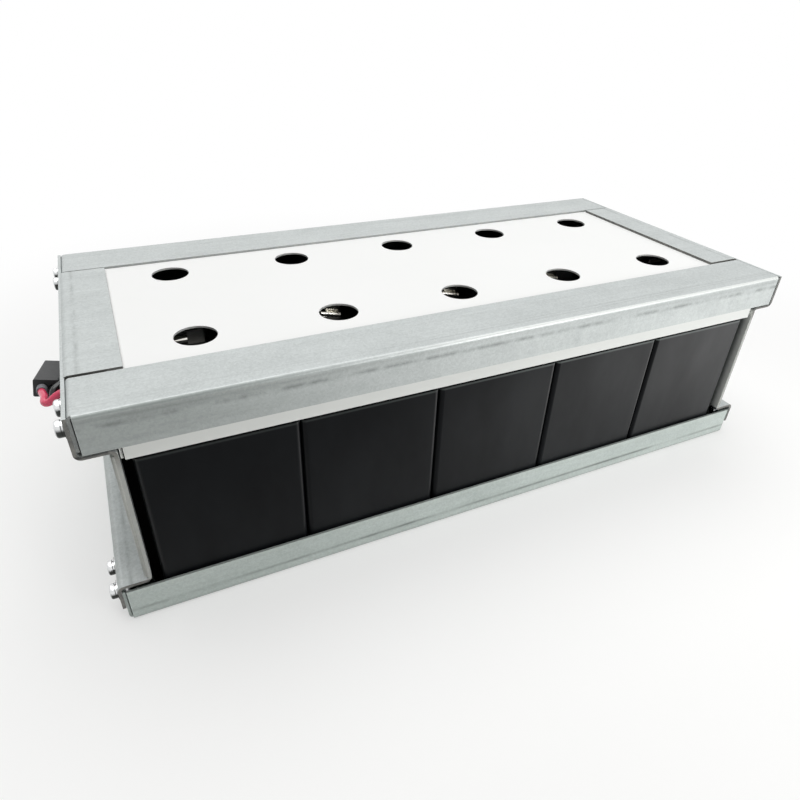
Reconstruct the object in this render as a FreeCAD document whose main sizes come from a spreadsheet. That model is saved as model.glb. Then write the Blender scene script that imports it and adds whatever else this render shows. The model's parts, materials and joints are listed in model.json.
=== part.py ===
import FreeCAD, Part
import math
import os

import Sketcher

Vector = FreeCAD.Vector

# Driving dimensions in millimetres and degrees, one sheet cell each
SIZES = {
    # Sealed battery block
    "battery_width": 70.0,
    "battery_depth": 90.0,
    "battery_gap": 0.5,
    "case_height": 87.0,
    "lid_height": 14.0,
    "battery_edge_radius": 2.5,
    "seam_bevel": 0.8,
    "lid_bevel": 1.2,
    "vent_strip_width": 16.0,
    "vent_strip_length": 44.0,
    "vent_strip_thickness": 1.6,
    "vent_recess_depth": 1.0,
    "vent_strip_offset": 14.0,
    # Bottom tray
    "tray_sheet": 1.2,
    "tray_bend_radius": 0.6,
    "tray_lip_height": 18.3,
    "tray_end_drop": 1.0,
    "tray_clearance": 1.15,
    "insulator_thickness": 0.5,
    # Top rails
    "rail_sheet": 1.2,
    "rail_bend_radius": 0.6,
    "rail_flange_width": 30.8,
    "rail_face_height": 17.7,
    "rail_tab_gap": 0.15,
    "corner_gap": 0.6,
    # End plates
    "plate_sheet": 1.5,
    "plate_bend_radius": 1.5,
    "plate_flange_length": 23.7,
    "plate_flange_gap": 1.6,
    "plate_inset": 0.6,
    "plate_side_drop": 0.4,
    "end_gap": 4.5,
    "recess_depth": 13.7,
    "upper_step_gap": 0.75,
    "lower_step_gap": 2.3,
    "plate_lip_drop": 13.8,
    # Folded plastic cover
    "cover_sheet": 1.0,
    "cover_bend_radius": 0.4,
    "cover_clearance": 0.1,
    "cover_end_clearance": 0.6,
    "cover_corner_slit": 0.5,
    "terminal_space": 9.4,
    "flap_drop": 23.4,
    "access_hole_diameter": 20.0,
    "access_row_spacing": 81.5,
    "access_hole_shift_x": 1.9,
    "access_hole_shift_y": 0.8,
    "lead_notch_headroom": 3.0,
    "lead_notch_margin": 6.0,
    # Screws, washers and press nuts
    "screw_diameter": 4.0,
    "screw_clearance": 0.25,
    "screw_spacing": 15.3,
    "screw_tail": 2.5,
    "lower_screw_height": 13.0,
    "head_diameter": 7.2,
    "head_height": 2.5,
    "head_round": 1.3,
    "cross_width": 1.1,
    "cross_length": 4.2,
    "cross_depth": 1.2,
    "flat_washer_diameter": 9.0,
    "flat_washer_thickness": 0.7,
    "lock_washer_diameter": 7.2,
    "lock_washer_thickness": 0.9,
    "lock_washer_slit": 0.7,
    "nut_diameter": 7.5,
    "nut_thickness": 2.0,
    # Terminals, receptacles and links
    "tab_width": 6.35,
    "tab_thickness": 0.8,
    "tab_height": 6.3,
    "tab_from_middle": 26.5,
    "positive_tab_offset": 3.0,
    "negative_tab_offset": 27.0,
    "receptacle_width": 8.0,
    "receptacle_depth": 3.0,
    "receptacle_height": 7.0,
    "receptacle_lift": 0.4,
    "slot_clearance": 0.05,
    "barrel_diameter": 4.2,
    "barrel_length": 9.5,
    "wire_height": 2.5,
    "link_diameter": 2.8,
    # Leads, grommet and connector
    "lead_diameter": 3.2,
    "lead_spacing": 6.8,
    "lead_exit_inset": 16.95,
    "lead_channel_outer": 4.5,
    "lead_channel_inner": 10.0,
    "red_lead_run": 8.5,
    "red_lead_turn": 2.0,
    "lead_end_run": 7.4,
    "grommet_length": 16.0,
    "grommet_height": 8.0,
    "grommet_corner": 3.5,
    "grommet_flange": 1.5,
    "grommet_flange_thickness": 1.0,
    "grommet_wall": 1.2,
    "housing_length": 30.0,
    "housing_width": 10.0,
    "housing_height": 7.9,
    "housing_corner": 0.6,
    "housing_yaw": -5.6,
    "housing_pitch": -11.9,
    "housing_roll": 10.8,
    "housing_out": 16.0,
    "housing_back": 17.6,
    "housing_down": 3.2,
    "pole_inset": 3.4,
    "pole_spacing": 4.2,
    "wire_cavity_depth": 4.0,
    "wire_cavity_diameter": 3.6,
    "contact_cavity_depth": 12.0,
    "contact_cavity_width": 3.2,
    "contact_cavity_height": 5.0,
    "contact_width": 2.6,
    "contact_thickness": 0.8,
    "contact_length": 9.0,
    # Foam end pads
    "pad_width": 160.0,
    "pad_height": 84.0,
}

COLUMNS = 5

# Free run of the two leads, chosen point by point from the middle of their window to the connector
RED_ROUTE = [
    (-3.1, -3.4, 0.0),
    (-6.9, -3.8, -1.7),
    (-9.7, -3.8, -4.2),
    (-12.0, -1.3, -5.0),
    (-11.6, 4.8, -5.4),
]
BLACK_ROUTE = [
    (-3.2, 3.4, 0.0),
    (-6.9, 1.2, -0.8),
    (-8.0, -0.4, -3.6),
    (-8.6, 0.7, -6.8),
    (-9.1, 5.1, -8.7),
]

doc = FreeCAD.newDocument("BatteryKit")
sheet = doc.addObject("Spreadsheet::Sheet", "Sizes")
for row, (alias, number) in enumerate(SIZES.items(), start=1):
    sheet.set(f"A{row}", alias)
    sheet.set(f"B{row}", str(number))
    sheet.setAlias(f"B{row}", alias)
doc.recompute()


class Size:
    """A number together with the sheet expression that gives it."""

    def __init__(self, value, text):
        self.value = value
        self.text = text

    def __add__(self, other):
        other = as_size(other)
        return Size(self.value + other.value, f"({self.text} + {other.text})")

    def __sub__(self, other):
        other = as_size(other)
        return Size(self.value - other.value, f"({self.text} - {other.text})")

    def __mul__(self, factor):
        return Size(self.value * factor, f"({self.text} * {factor})")

    def __truediv__(self, divisor):
        return Size(self.value / divisor, f"({self.text} / {divisor})")

    def __neg__(self):
        return self * -1


def as_size(number):
    return number if isinstance(number, Size) else Size(number, str(number))


def cell(alias):
    return Size(float(sheet.get(alias)), f"Sizes.{alias}")


# Places worked out from the driving dimensions
pitch = cell("battery_width") + cell("battery_gap")
row_y = (cell("battery_depth") + cell("battery_gap")) / 2
block_half_length = pitch * (COLUMNS / 2) - cell("battery_gap") / 2
battery_face_y = cell("battery_depth") + cell("battery_gap") / 2
battery_bottom = cell("tray_sheet") + cell("insulator_thickness")
lid_bottom = battery_bottom + cell("case_height")
lid_top = lid_bottom + cell("lid_height")
cover_under = lid_top + cell("terminal_space")
cover_top = cover_under + cell("cover_sheet")
rail_top = cover_top + cell("rail_sheet")
rail_low = rail_top - cell("rail_face_height")
lip_inner_y = battery_face_y + cell("tray_clearance")
tray_face_y = lip_inner_y + cell("tray_sheet")
rail_face_y = lip_inner_y + cell("rail_sheet")
rail_inner_y = rail_face_y - cell("rail_flange_width")
rail_flat_y = rail_face_y - cell("rail_sheet") - cell("rail_bend_radius")
tray_flat_y = tray_face_y - cell("tray_sheet") - cell("tray_bend_radius")
wall_inner_x = block_half_length + cell("end_gap")
wall_outer_x = wall_inner_x + cell("plate_sheet")
plate_outer_x = wall_outer_x + cell("recess_depth")
tab_outer_x = plate_outer_x - cell("plate_sheet")
plate_top = cover_top + cell("plate_sheet")
plate_half_width = rail_face_y - cell("plate_inset")
plate_flange_half_width = rail_inner_y - cell("plate_flange_gap")
upper_step_top = rail_low - cell("upper_step_gap")
upper_step_under = upper_step_top - cell("plate_sheet")
rail_tab_low = upper_step_top + cell("plate_bend_radius") + cell("rail_tab_gap")
lower_step_under = cell("tray_lip_height") + cell("lower_step_gap")
lower_step_top = lower_step_under + cell("plate_sheet")
plate_lip_low = lower_step_top - cell("plate_lip_drop")
flap_y = battery_face_y + cell("cover_clearance") + cell("cover_sheet")
flap_low = cover_top - cell("flap_drop")
cover_x = wall_inner_x - cell("cover_end_clearance")
screw_pair_y = (rail_inner_y + rail_flat_y) / 2
upper_screw_z = (rail_top + rail_low) / 2
wire_z = lid_top + cell("wire_height")
tab_y = cell("tab_from_middle")
lead_exit_y = cell("screw_spacing") / 2 + cell("lead_exit_inset") - screw_pair_y
red_exit_y = lead_exit_y - cell("lead_spacing") / 2
black_exit_y = lead_exit_y + cell("lead_spacing") / 2
grommet_face_x = plate_outer_x + cell("grommet_flange_thickness")
lead_joint_x = tab_outer_x - cell("grommet_flange_thickness")

parts = []


def column_x(column):
    return pitch * (column - (COLUMNS - 1) / 2)


def keep(piece):
    """List a finished sub-part for writing."""
    parts.append(piece)
    return piece


def new_body(label):
    body = doc.addObject("PartDesign::Body", label)
    body.Label = label
    return body


def new_sketch(body, plane_role, offset=None):
    """An empty sketch on one of the body's own planes, moved along the plane's normal by offset."""
    plane = next(item for item in body.Origin.OriginFeatures if item.Role == plane_role)
    sketch = body.newObject("Sketcher::SketchObject", f"{body.Name}_sketch")
    sketch.AttachmentSupport = [(plane, "")]
    sketch.MapMode = "FlatFace"
    if offset is not None:
        sketch.setExpression(".AttachmentOffset.Base.z", offset.text)
    return sketch


def fix_point(sketch, geometry, end, x, y):
    """Hold one end of a sketch line at a place given by the sheet."""
    for kind, place in (("DistanceX", x), ("DistanceY", y)):
        number = sketch.addConstraint(Sketcher.Constraint(kind, -1, 1, geometry, end, place.value))
        sketch.setExpression(f"Constraints[{number}]", place.text)


def side_direction(start, end):
    run_x = end[0].value - start[0].value
    run_y = end[1].value - start[1].value
    if abs(run_x) > abs(run_y):
        return (int(math.copysign(1, run_x)), 0)
    return (0, int(math.copysign(1, run_y)))


def shifted(point, direction, amount):
    """A point moved along an axis-parallel direction."""
    moved = []
    for place, sign in zip(point, direction):
        moved.append(place + amount * sign if sign else place)
    return tuple(moved)


def draw_outline(sketch, corners):
    """Closed outline with axis-parallel sides; corners are (x, y, radius), radius None for a sharp one."""
    count = len(corners)
    places = [(as_size(x), as_size(y)) for x, y, _ in corners]
    ways = [side_direction(places[i], places[(i + 1) % count]) for i in range(count)]
    starts, ends, arcs = [], [], []
    for i, (_, _, radius) in enumerate(corners):
        if radius is None:
            ends.append(places[i])
            starts.append(places[i])
        else:
            ends.append(shifted(places[i], ways[i - 1], radius * -1))
            starts.append(shifted(places[i], ways[i], radius))
    lines = []
    for i in range(count):
        first, last = starts[i], ends[(i + 1) % count]
        segment = Part.LineSegment(Vector(first[0].value, first[1].value, 0), Vector(last[0].value, last[1].value, 0))
        lines.append(sketch.addGeometry(segment))
    for i, (_, _, radius) in enumerate(corners):
        if radius is None:
            sketch.addConstraint(Sketcher.Constraint("Coincident", lines[i - 1], 2, lines[i], 1))
            arcs.append(None)
            continue
        turn = ways[i - 1][0] * ways[i][1] - ways[i - 1][1] * ways[i][0]
        inward = (-ways[i - 1][1] * turn, ways[i - 1][0] * turn)
        centre = shifted(ends[i], inward, radius)
        middle = Vector(centre[0].value, centre[1].value, 0)
        before = math.atan2(-inward[1], -inward[0])
        after = before + turn * math.pi / 2
        low, high = (before, after) if turn > 0 else (after, before)
        arc = sketch.addGeometry(Part.ArcOfCircle(Part.Circle(middle, Vector(0, 0, 1), radius.value), low, high))
        entry, leave = (1, 2) if turn > 0 else (2, 1)
        sketch.addConstraint(Sketcher.Constraint("Coincident", lines[i - 1], 2, arc, entry))
        sketch.addConstraint(Sketcher.Constraint("Coincident", arc, leave, lines[i], 1))
        number = sketch.addConstraint(Sketcher.Constraint("Radius", arc, radius.value))
        sketch.setExpression(f"Constraints[{number}]", radius.text)
        arcs.append(arc)
    for i in range(count):
        fix_point(sketch, lines[i], 1, *starts[i])
        if corners[(i + 1) % count][2] is not None:
            fix_point(sketch, lines[i], 2, *ends[(i + 1) % count])


def draw_rectangle(sketch, low_x, high_x, low_y, high_y, radius=None):
    draw_outline(sketch, [(low_x, low_y, radius), (high_x, low_y, radius),
                          (high_x, high_y, radius), (low_x, high_y, radius)])


def draw_circle(sketch, x, y, diameter):
    circle = Part.Circle(Vector(x.value, y.value, 0), Vector(0, 0, 1), diameter.value / 2)
    geometry = sketch.addGeometry(circle)
    fix_point(sketch, geometry, 3, x, y)
    number = sketch.addConstraint(Sketcher.Constraint("Diameter", geometry, diameter.value))
    sketch.setExpression(f"Constraints[{number}]", diameter.text)


def folded_sheet(path, thickness, bend_radius, side):
    """Corners of a folded sheet's section: path runs along one face, the other lies to its left (1) or right (-1)."""
    last = len(path) - 1
    ways = [side_direction(path[i], path[i + 1]) for i in range(last)]
    normals = [(-way[1] * side, way[0] * side) for way in ways]
    near = [(*path[0], None)]
    far = [(*shifted(path[0], normals[0], thickness), None)]
    for i in range(1, last):
        turn = ways[i - 1][0] * ways[i][1] - ways[i - 1][1] * ways[i][0]
        outer_radius = bend_radius + thickness
        near_radius, far_radius = (outer_radius, bend_radius) if turn == side else (bend_radius, outer_radius)
        near.append((*path[i], near_radius))
        corner = shifted(shifted(path[i], normals[i - 1], thickness), normals[i], thickness)
        far.append((*corner, far_radius))
    near.append((*path[last], None))
    far.append((*shifted(path[last], normals[-1], thickness), None))
    return near + far[::-1]


def pad(body, sketch, length, symmetric=True, backwards=False):
    feature = body.newObject("PartDesign::Pad", f"{body.Name}_pad")
    feature.Profile = sketch
    feature.SideType = "Symmetric" if symmetric else "One side"
    feature.Reversed = backwards
    feature.setExpression("Length", length.text)
    return feature


def pocket(body, sketch, depth=None, symmetric=False, backwards=False):
    """Cut a sketch out of the body: through everything unless a depth is given."""
    feature = body.newObject("PartDesign::Pocket", f"{body.Name}_pocket")
    feature.Profile = sketch
    feature.SideType = "Symmetric" if symmetric else "One side"
    feature.Reversed = backwards
    if depth is None:
        feature.Type = "ThroughAll"
    else:
        feature.Type = "Length"
        feature.setExpression("Length", depth.text)
    return feature


def edges_at(feature, axis, place):
    """Names of the feature's edges that lie whole in one plane across an axis, given by the axis's number."""
    doc.recompute()
    names = []
    for number, edge in enumerate(feature.Shape.Edges, start=1):
        box = edge.BoundBox
        low, high = (box.XMin, box.YMin, box.ZMin)[axis], (box.XMax, box.YMax, box.ZMax)[axis]
        if abs(low - place) < 1e-4 and abs(high - place) < 1e-4:
            names.append(f"Edge{number}")
    return names


def bevel(body, feature, edges, size):
    chamfer = body.newObject("PartDesign::Chamfer", f"{body.Name}_bevel")
    chamfer.Base = (feature, edges)
    chamfer.setExpression("Size", size.text)
    return chamfer


def place(piece, **axes):
    """Bind a piece's own origin to places on the sheet."""
    for axis, size in axes.items():
        piece.setExpression(f".Placement.Base.{axis}", size.text)


def box(name, size_x, size_y, size_z, low_x, low_y, low_z):
    block = doc.addObject("Part::Box", name)
    block.setExpression("Length", size_x.text)
    block.setExpression("Width", size_y.text)
    block.setExpression("Height", size_z.text)
    place(block, x=low_x, y=low_y, z=low_z)
    return block


def rod_along_x(name, diameter, length, low_x, y, z):
    rod = doc.addObject("Part::Cylinder", name)
    rod.Placement = FreeCAD.Placement(Vector(0, 0, 0), FreeCAD.Rotation(Vector(0, 1, 0), 90))
    rod.setExpression("Radius", (diameter / 2).text)
    rod.setExpression("Height", length.text)
    place(rod, x=low_x, y=y, z=z)
    return rod


def joined(kind, name, *pieces):
    """A cut or a fuse of pieces that are already in the document."""
    result = doc.addObject(kind, name)
    if kind == "Part::Cut":
        result.Base, result.Tool = pieces
    else:
        result.Shapes = list(pieces)
    return result


def screw_places():
    """The (y, z) of the eight screws of one end."""
    for height in (upper_screw_z, cell("lower_screw_height")):
        for side in (-1, 1):
            for step in (-1, 1):
                yield (screw_pair_y + cell("screw_spacing") * (step / 2)) * side, height


def end_offset(end, x):
    """Distance of a plane across X from the middle, on the left (-1) or right (1) end."""
    return x * end


def make_bottom_tray():
    body = new_body("bottom_tray")
    sheet_size, radius = cell("tray_sheet"), cell("tray_bend_radius")
    floor = as_size(0)
    sides = new_sketch(body, "YZ_Plane")
    lip_top = cell("tray_lip_height")
    lips = [(-tray_face_y, lip_top), (-tray_face_y, floor), (tray_face_y, floor), (tray_face_y, lip_top)]
    draw_outline(sides, folded_sheet(lips, sheet_size, radius, 1))
    pad(body, sides, (tab_outer_x - sheet_size - cell("corner_gap")) * 2)
    ends = new_sketch(body, "XZ_Plane")
    end_top = lip_top - cell("tray_end_drop")
    flanges = [(-tab_outer_x, end_top), (-tab_outer_x, floor), (tab_outer_x, floor), (tab_outer_x, end_top)]
    draw_outline(ends, folded_sheet(flanges, sheet_size, radius, 1))
    pad(body, ends, tray_flat_y * 2)
    holes = new_sketch(body, "YZ_Plane")
    hole_size = cell("screw_diameter") + cell("screw_clearance") * 2
    for y, z in screw_places():
        if z.text == cell("lower_screw_height").text:
            draw_circle(holes, y, z, hole_size)
    pocket(body, holes, symmetric=True)
    return keep(body)


def make_top_rail(label, side):
    """A rail on the front (-1) or back (1): top flange, face, and a tab bent down at each end."""
    body = new_body(label)
    sheet_size, radius = cell("rail_sheet"), cell("rail_bend_radius")
    section = new_sketch(body, "YZ_Plane")
    path = [(rail_inner_y * side, rail_top), (rail_face_y * side, rail_top), (rail_face_y * side, rail_low)]
    draw_outline(section, folded_sheet(path, sheet_size, radius, -side))
    pad(body, section, (tab_outer_x - sheet_size - cell("corner_gap")) * 2)
    start = -rail_flat_y if side > 0 else rail_inner_y
    ends = new_sketch(body, "XZ_Plane", start)
    tabs = [(-tab_outer_x, rail_tab_low), (-tab_outer_x, rail_top),
            (tab_outer_x, rail_top), (tab_outer_x, rail_tab_low)]
    draw_outline(ends, folded_sheet(tabs, sheet_size, radius, -1))
    pad(body, ends, rail_flat_y - rail_inner_y, symmetric=False)
    holes = new_sketch(body, "YZ_Plane")
    hole_size = cell("screw_diameter") + cell("screw_clearance") * 2
    for step in (-1, 1):
        draw_circle(holes, (screw_pair_y + cell("screw_spacing") * (step / 2)) * side, upper_screw_z, hole_size)
    pocket(body, holes, symmetric=True)
    return keep(body)


def make_end_plate(label, end):
    """An end plate on the left (-1) or right (1), with a top flange, a recess and a lower lip."""
    body = new_body(label)
    sheet_size, radius = cell("plate_sheet"), cell("plate_bend_radius")
    flange_inner = plate_outer_x - cell("plate_flange_length")
    recess = [(plate_outer_x * end, upper_step_under), (wall_outer_x * end, upper_step_under),
              (wall_outer_x * end, lower_step_top), (plate_outer_x * end, lower_step_top),
              (plate_outer_x * end, plate_lip_low)]
    full = new_sketch(body, "XZ_Plane")
    top = [(flange_inner * end, plate_top), (plate_outer_x * end, plate_top)]
    draw_outline(full, folded_sheet(top + recess, sheet_size, radius, -end))
    pad(body, full, plate_flange_half_width * 2)
    wings = new_sketch(body, "XZ_Plane")
    side_top = [(plate_outer_x * end, rail_top - cell("plate_side_drop"))]
    draw_outline(wings, folded_sheet(side_top + recess, sheet_size, radius, -end))
    pad(body, wings, plate_half_width * 2)
    holes = new_sketch(body, "YZ_Plane")
    hole_size = cell("screw_diameter") + cell("screw_clearance") * 2
    for y, z in screw_places():
        draw_circle(holes, y, z, hole_size)
    if end < 0:
        draw_lead_window(holes, as_size(0))
    pocket(body, holes, symmetric=True)
    return keep(body)


def draw_lead_window(sketch, margin):
    """The rounded window that the grommet fills, grown all round by margin."""
    half_length = cell("grommet_length") / 2 + margin
    half_height = cell("grommet_height") / 2 + margin
    middle = lead_exit_y
    corner = cell("grommet_corner") + margin
    draw_rectangle(sketch, middle - half_length, middle + half_length,
                   wire_z - half_height, wire_z + half_height, corner)


def make_top_cover():
    body = new_body("top_cover")
    sheet_size, radius = cell("cover_sheet"), cell("cover_bend_radius")
    sides = new_sketch(body, "YZ_Plane")
    flaps = [(-flap_y, flap_low), (-flap_y, cover_top), (flap_y, cover_top), (flap_y, flap_low)]
    draw_outline(sides, folded_sheet(flaps, sheet_size, radius, -1))
    pad(body, sides, (cover_x - sheet_size - cell("cover_corner_slit")) * 2)
    ends = new_sketch(body, "XZ_Plane")
    end_flaps = [(-cover_x, flap_low), (-cover_x, cover_top), (cover_x, cover_top), (cover_x, flap_low)]
    draw_outline(ends, folded_sheet(end_flaps, sheet_size, radius, -1))
    pad(body, ends, (flap_y - sheet_size - radius) * 2)
    notch = new_sketch(body, "YZ_Plane")
    margin = cell("lead_notch_margin")
    draw_rectangle(notch, red_exit_y - margin, tab_y + margin,
                   flap_low, cover_under - cell("lead_notch_headroom"))
    pocket(body, notch)
    holes = new_sketch(body, "XY_Plane")
    for side in (-1, 1):
        row_of_holes_y = cell("access_row_spacing") * (side / 2) + cell("access_hole_shift_y")
        draw_circle(holes, column_x(0) + cell("access_hole_shift_x"), row_of_holes_y, cell("access_hole_diameter"))
    cut = pocket(body, holes, symmetric=True)
    doc.recompute()
    row_of_holes = body.newObject("PartDesign::LinearPattern", "access_holes")
    row_of_holes.Originals = [cut]
    row_of_holes.Direction = (holes, ["H_Axis"])
    row_of_holes.setExpression("Length", (pitch * (COLUMNS - 1)).text)
    row_of_holes.Occurrences = COLUMNS
    body.Tip = row_of_holes
    return keep(body)


def battery_outline(body):
    sketch = new_sketch(body, "XY_Plane")
    half_width, half_depth = cell("battery_width") / 2, cell("battery_depth") / 2
    draw_rectangle(sketch, -half_width, half_width, -half_depth, half_depth, cell("battery_edge_radius"))
    return sketch


def make_battery(row_name, side, column):
    """One sealed battery: a container, and the lid that is welded to it."""
    case = new_body(f"battery_case_{row_name}_{column + 1}")
    block = pad(case, battery_outline(case), cell("case_height"), symmetric=False)
    bevel(case, block, edges_at(block, 2, cell("case_height").value), cell("seam_bevel"))
    place(case, x=column_x(column), y=row_y * side, z=battery_bottom)
    lid = new_body(f"battery_lid_{row_name}_{column + 1}")
    block = pad(lid, battery_outline(lid), cell("lid_height"), symmetric=False)
    rim = bevel(lid, block, edges_at(block, 2, cell("lid_height").value), cell("lid_bevel"))
    recess = new_sketch(lid, "XY_Plane", cell("lid_height"))
    draw_vent_strip(recess, as_size(0), cell("vent_strip_offset") * side, cell("slot_clearance"))
    pocket(lid, recess, cell("vent_recess_depth"))
    place(lid, x=column_x(column), y=row_y * side, z=lid_bottom)
    return keep(case), keep(lid), rim


def draw_vent_strip(sketch, x, y, margin):
    half_length = cell("vent_strip_length") / 2 + margin
    half_width = cell("vent_strip_width") / 2 + margin
    draw_rectangle(sketch, x - half_length, x + half_length, y - half_width, y + half_width)


def make_vent_strips(row_name, side):
    body = new_body(f"vent_strips_{row_name}")
    sketch = new_sketch(body, "XY_Plane", lid_top - cell("vent_recess_depth"))
    for column in range(COLUMNS):
        draw_vent_strip(sketch, column_x(column), (row_y + cell("vent_strip_offset")) * side, as_size(0))
    pad(body, sketch, cell("vent_strip_thickness"), symmetric=False)
    return keep(body)


def tab_places(offset):
    """Front and back row tabs; the back row is the front row turned half round."""
    for column in range(COLUMNS):
        yield column_x(column) + offset, -tab_y, 1
        yield column_x(column) - offset, tab_y, -1


def make_tabs(label, offset):
    body = new_body(label)
    sketch = new_sketch(body, "XY_Plane", lid_top)
    half_width, half_thickness = cell("tab_width") / 2, cell("tab_thickness") / 2
    for x, y, _ in tab_places(offset):
        draw_rectangle(sketch, x - half_width, x + half_width, y - half_thickness, y + half_thickness)
    pad(body, sketch, cell("tab_height"), symmetric=False)
    return keep(body)


def make_receptacle(name, x, y, way):
    """A flag receptacle pushed onto a tab, its barrel pointing to +X (1) or -X (-1)."""
    width, depth, height = cell("receptacle_width"), cell("receptacle_depth"), cell("receptacle_height")
    low = lid_top + cell("receptacle_lift")
    shell = box(f"{name}_shell", width, depth, height, x - width / 2, y - depth / 2, low)
    clear = cell("slot_clearance")
    slot_width = cell("tab_width") + clear * 2
    slot_depth = cell("tab_thickness") + clear * 2
    slot = box(f"{name}_slot", slot_width, slot_depth, cell("tab_height"),
               x - slot_width / 2, y - slot_depth / 2, lid_top)
    socket = joined("Part::Cut", f"{name}_socket", shell, slot)
    start = x + width / 2 if way > 0 else x - width / 2 - cell("barrel_length")
    barrel = rod_along_x(f"{name}_barrel", cell("barrel_diameter"), cell("barrel_length"), start, y, wire_z)
    return joined("Part::MultiFuse", name, socket, barrel)


def barrel_end(x, way):
    return x + (cell("receptacle_width") / 2 + cell("barrel_length")) * way


def make_receptacles(label, offset, way, turned=()):
    """Receptacles of one polarity; the ones listed in turned point the other way."""
    pieces = []
    for number, (x, y, half_turn) in enumerate(tab_places(offset)):
        pointing = -way * half_turn if number in turned else way * half_turn
        pieces.append(make_receptacle(f"{label}_{number + 1}", x, y, pointing))
    group = doc.addObject("Part::Compound", label)
    group.Label = label
    group.Links = pieces
    return keep(group)


def make_links():
    """Straight series links within each row, and the link that joins the rows at the right end."""
    start_offset, end_offset_x = cell("negative_tab_offset"), cell("positive_tab_offset")
    number = 0
    for half_turn in (1, -1):
        for column in range(COLUMNS - 1):
            number += 1
            low = barrel_end(column_x(column) + start_offset, 1)
            high = barrel_end(column_x(column + 1) + end_offset_x, -1)
            low_x = low if half_turn > 0 else -high
            link = rod_along_x(f"series_link_{number}", cell("link_diameter"), high - low,
                               low_x, tab_y * -half_turn, wire_z)
            link.Label = f"series_link_{number}"
            keep(link)
    last = column_x(COLUMNS - 1)
    front_end = barrel_end(last + start_offset, -1)
    back_end = barrel_end(last - end_offset_x, 1)
    turn_x = front_end - cell("link_diameter") * 1.7
    aside_x = back_end + cell("link_diameter") * 1.7
    route = [(front_end, -tab_y), (turn_x, -tab_y), (turn_x, -tab_y / 2), (aside_x, tab_y / 4),
             (aside_x, tab_y), (back_end, tab_y)]
    make_tube("row_link", [(x.value, y.value, wire_z.value) for x, y in route], cell("link_diameter"))


def turn_angle(before, corner, after):
    return (corner - before).getAngle(after - corner)


def make_tube(label, points, diameter):
    """A round lead along straight runs joined by tangent arcs, as large as the runs allow."""
    knots = [Vector(*point) for point in points]
    edges, radii = [], []
    start = knots[0]
    for before, corner, after in zip(knots, knots[1:], knots[2:]):
        angle = turn_angle(before, corner, after)
        reach = 0.45 * min((corner - before).Length, (after - corner).Length)
        entry = corner + (before - corner).normalize() * reach
        leave = corner + (after - corner).normalize() * reach
        radius = reach / math.tan(angle / 2)
        centre_way = ((before - corner).normalize() + (after - corner).normalize()).normalize()
        middle = corner + centre_way * (radius / math.cos(angle / 2) - radius)
        edges.append(Part.LineSegment(start, entry).toShape())
        edges.append(Part.Arc(entry, middle, leave).toShape())
        radii.append(radius)
        start = leave
    edges.append(Part.LineSegment(start, knots[-1]).toShape())
    path = Part.Wire(edges)
    ring = Part.Wire([Part.Circle(knots[0], knots[1] - knots[0], diameter.value / 2).toShape()])
    tube = doc.addObject("Part::Feature", label)
    tube.Label = label
    tube.Shape = path.makePipeShell([ring], True, False)
    section = math.pi * diameter.value ** 2 / 4
    print(label, "length", round(path.Length, 2), "radii", [round(radius, 2) for radius in radii],
          "volume share", round(tube.Shape.Volume / (section * path.Length), 4))
    return keep(tube)


def make_inner_leads():
    """The leads' held stretch, from the first and last terminal to the window in the left end plate."""
    first = column_x(0)
    red_start = barrel_end(first + cell("positive_tab_offset"), -1)
    red = [(red_start, -tab_y), (red_start - cell("red_lead_run"), -tab_y),
           (-(wall_inner_x - cell("red_lead_turn")), red_exit_y), (-lead_joint_x, red_exit_y)]
    make_tube("red_lead_inner", [(x.value, y.value, wire_z.value) for x, y in red], cell("lead_diameter"))
    black_start = barrel_end(first - cell("negative_tab_offset"), -1)
    outer_x = -(tab_outer_x - cell("lead_channel_outer"))
    inner_x = -(tab_outer_x - cell("lead_channel_inner"))
    black = [(black_start, tab_y), (outer_x, tab_y), (outer_x, tab_y / 4), (inner_x, -tab_y * 0.7),
             (inner_x, black_exit_y), (-lead_joint_x, black_exit_y)]
    make_tube("black_lead_inner", [(x.value, y.value, wire_z.value) for x, y in black], cell("lead_diameter"))


def lead_window_middle():
    return Vector(-lead_joint_x.value, lead_exit_y.value, wire_z.value)


def housing_placement():
    """The connector hangs beside the left end plate, turned about all three axes."""
    turn = FreeCAD.Rotation(Vector(0, 0, 1), cell("housing_yaw").value)
    turn = turn.multiply(FreeCAD.Rotation(Vector(1, 0, 0), cell("housing_pitch").value))
    turn = turn.multiply(FreeCAD.Rotation(Vector(0, 1, 0), cell("housing_roll").value))
    offset = Vector(-cell("housing_out").value, cell("housing_back").value, -cell("housing_down").value)
    return FreeCAD.Placement(lead_window_middle() + offset, turn)


def pole_x(pole):
    return cell("pole_inset") + cell("pole_spacing") * pole


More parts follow.
